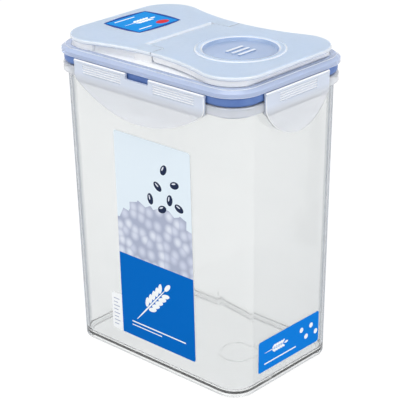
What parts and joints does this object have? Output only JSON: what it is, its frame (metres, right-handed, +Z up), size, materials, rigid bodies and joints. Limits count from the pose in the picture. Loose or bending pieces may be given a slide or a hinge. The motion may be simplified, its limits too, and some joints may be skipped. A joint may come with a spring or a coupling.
{
  "type": "food canister",
  "caption": "Tall rectangular clear plastic food canister with a gasketed snap lid, wing latches on its sides and a flip-top pour cap.",
  "frame": {"origin": "middle of the base, on the surface that the canister stands on", "axes": "+Z up, +X along the long side towards the pour cap, +Y along the short side away from the tall label"},
  "size_m": [0.1456, 0.1014, 0.1907],
  "materials": {
    "clear_plastic": "clear polished polypropylene",
    "frosted_plastic": "frosted translucent polypropylene",
    "blue_silicone": "satin silicone",
    "dark_silicone": "satin silicone",
    "label_film": "printed plastic film"
  },
  "bodies": {
    "container": {"container_body": "clear_plastic", "front_label": "label_film", "side_label": "label_film"},
    "lid": {"lid": "frosted_plastic", "lid_gasket": "blue_silicone", "spout_gasket": "dark_silicone", "lid_sticker": "label_film"},
    "flip_cap": {"flip_cap": "frosted_plastic"},
    "front_latch": {"front_latch": "frosted_plastic"},
    "back_latch": {"back_latch": "frosted_plastic"},
    "left_latch": {"left_latch": "frosted_plastic"},
    "right_latch": {"right_latch": "frosted_plastic"}
  },
  "joints": [
    {"name": "lid_lift", "type": "slide", "parent": "container", "child": "lid", "axis": [0, 0, 1], "range_m": [0, 0.08]},
    {"name": "cap_hinge", "type": "hinge", "parent": "lid", "child": "flip_cap", "pos_m": [-0.0115, 0, 0.1875], "axis": [0, -1, 0], "range_deg": [0, 100]},
    {"name": "front_latch_hinge", "type": "hinge", "parent": "lid", "child": "front_latch", "pos_m": [0, -0.049, 0.17905], "axis": [-1, 0, 0], "range_deg": [0, 110]},
    {"name": "back_latch_hinge", "type": "hinge", "parent": "lid", "child": "back_latch", "pos_m": [0, 0.049, 0.17905], "axis": [1, 0, 0], "range_deg": [0, 110]},
    {"name": "left_latch_hinge", "type": "hinge", "parent": "lid", "child": "left_latch", "pos_m": [-0.0711, 0, 0.17905], "axis": [0, 1, 0], "range_deg": [0, 110]},
    {"name": "right_latch_hinge", "type": "hinge", "parent": "lid", "child": "right_latch", "pos_m": [0.0711, 0, 0.17905], "axis": [0, -1, 0], "range_deg": [0, 110]}
  ]
}
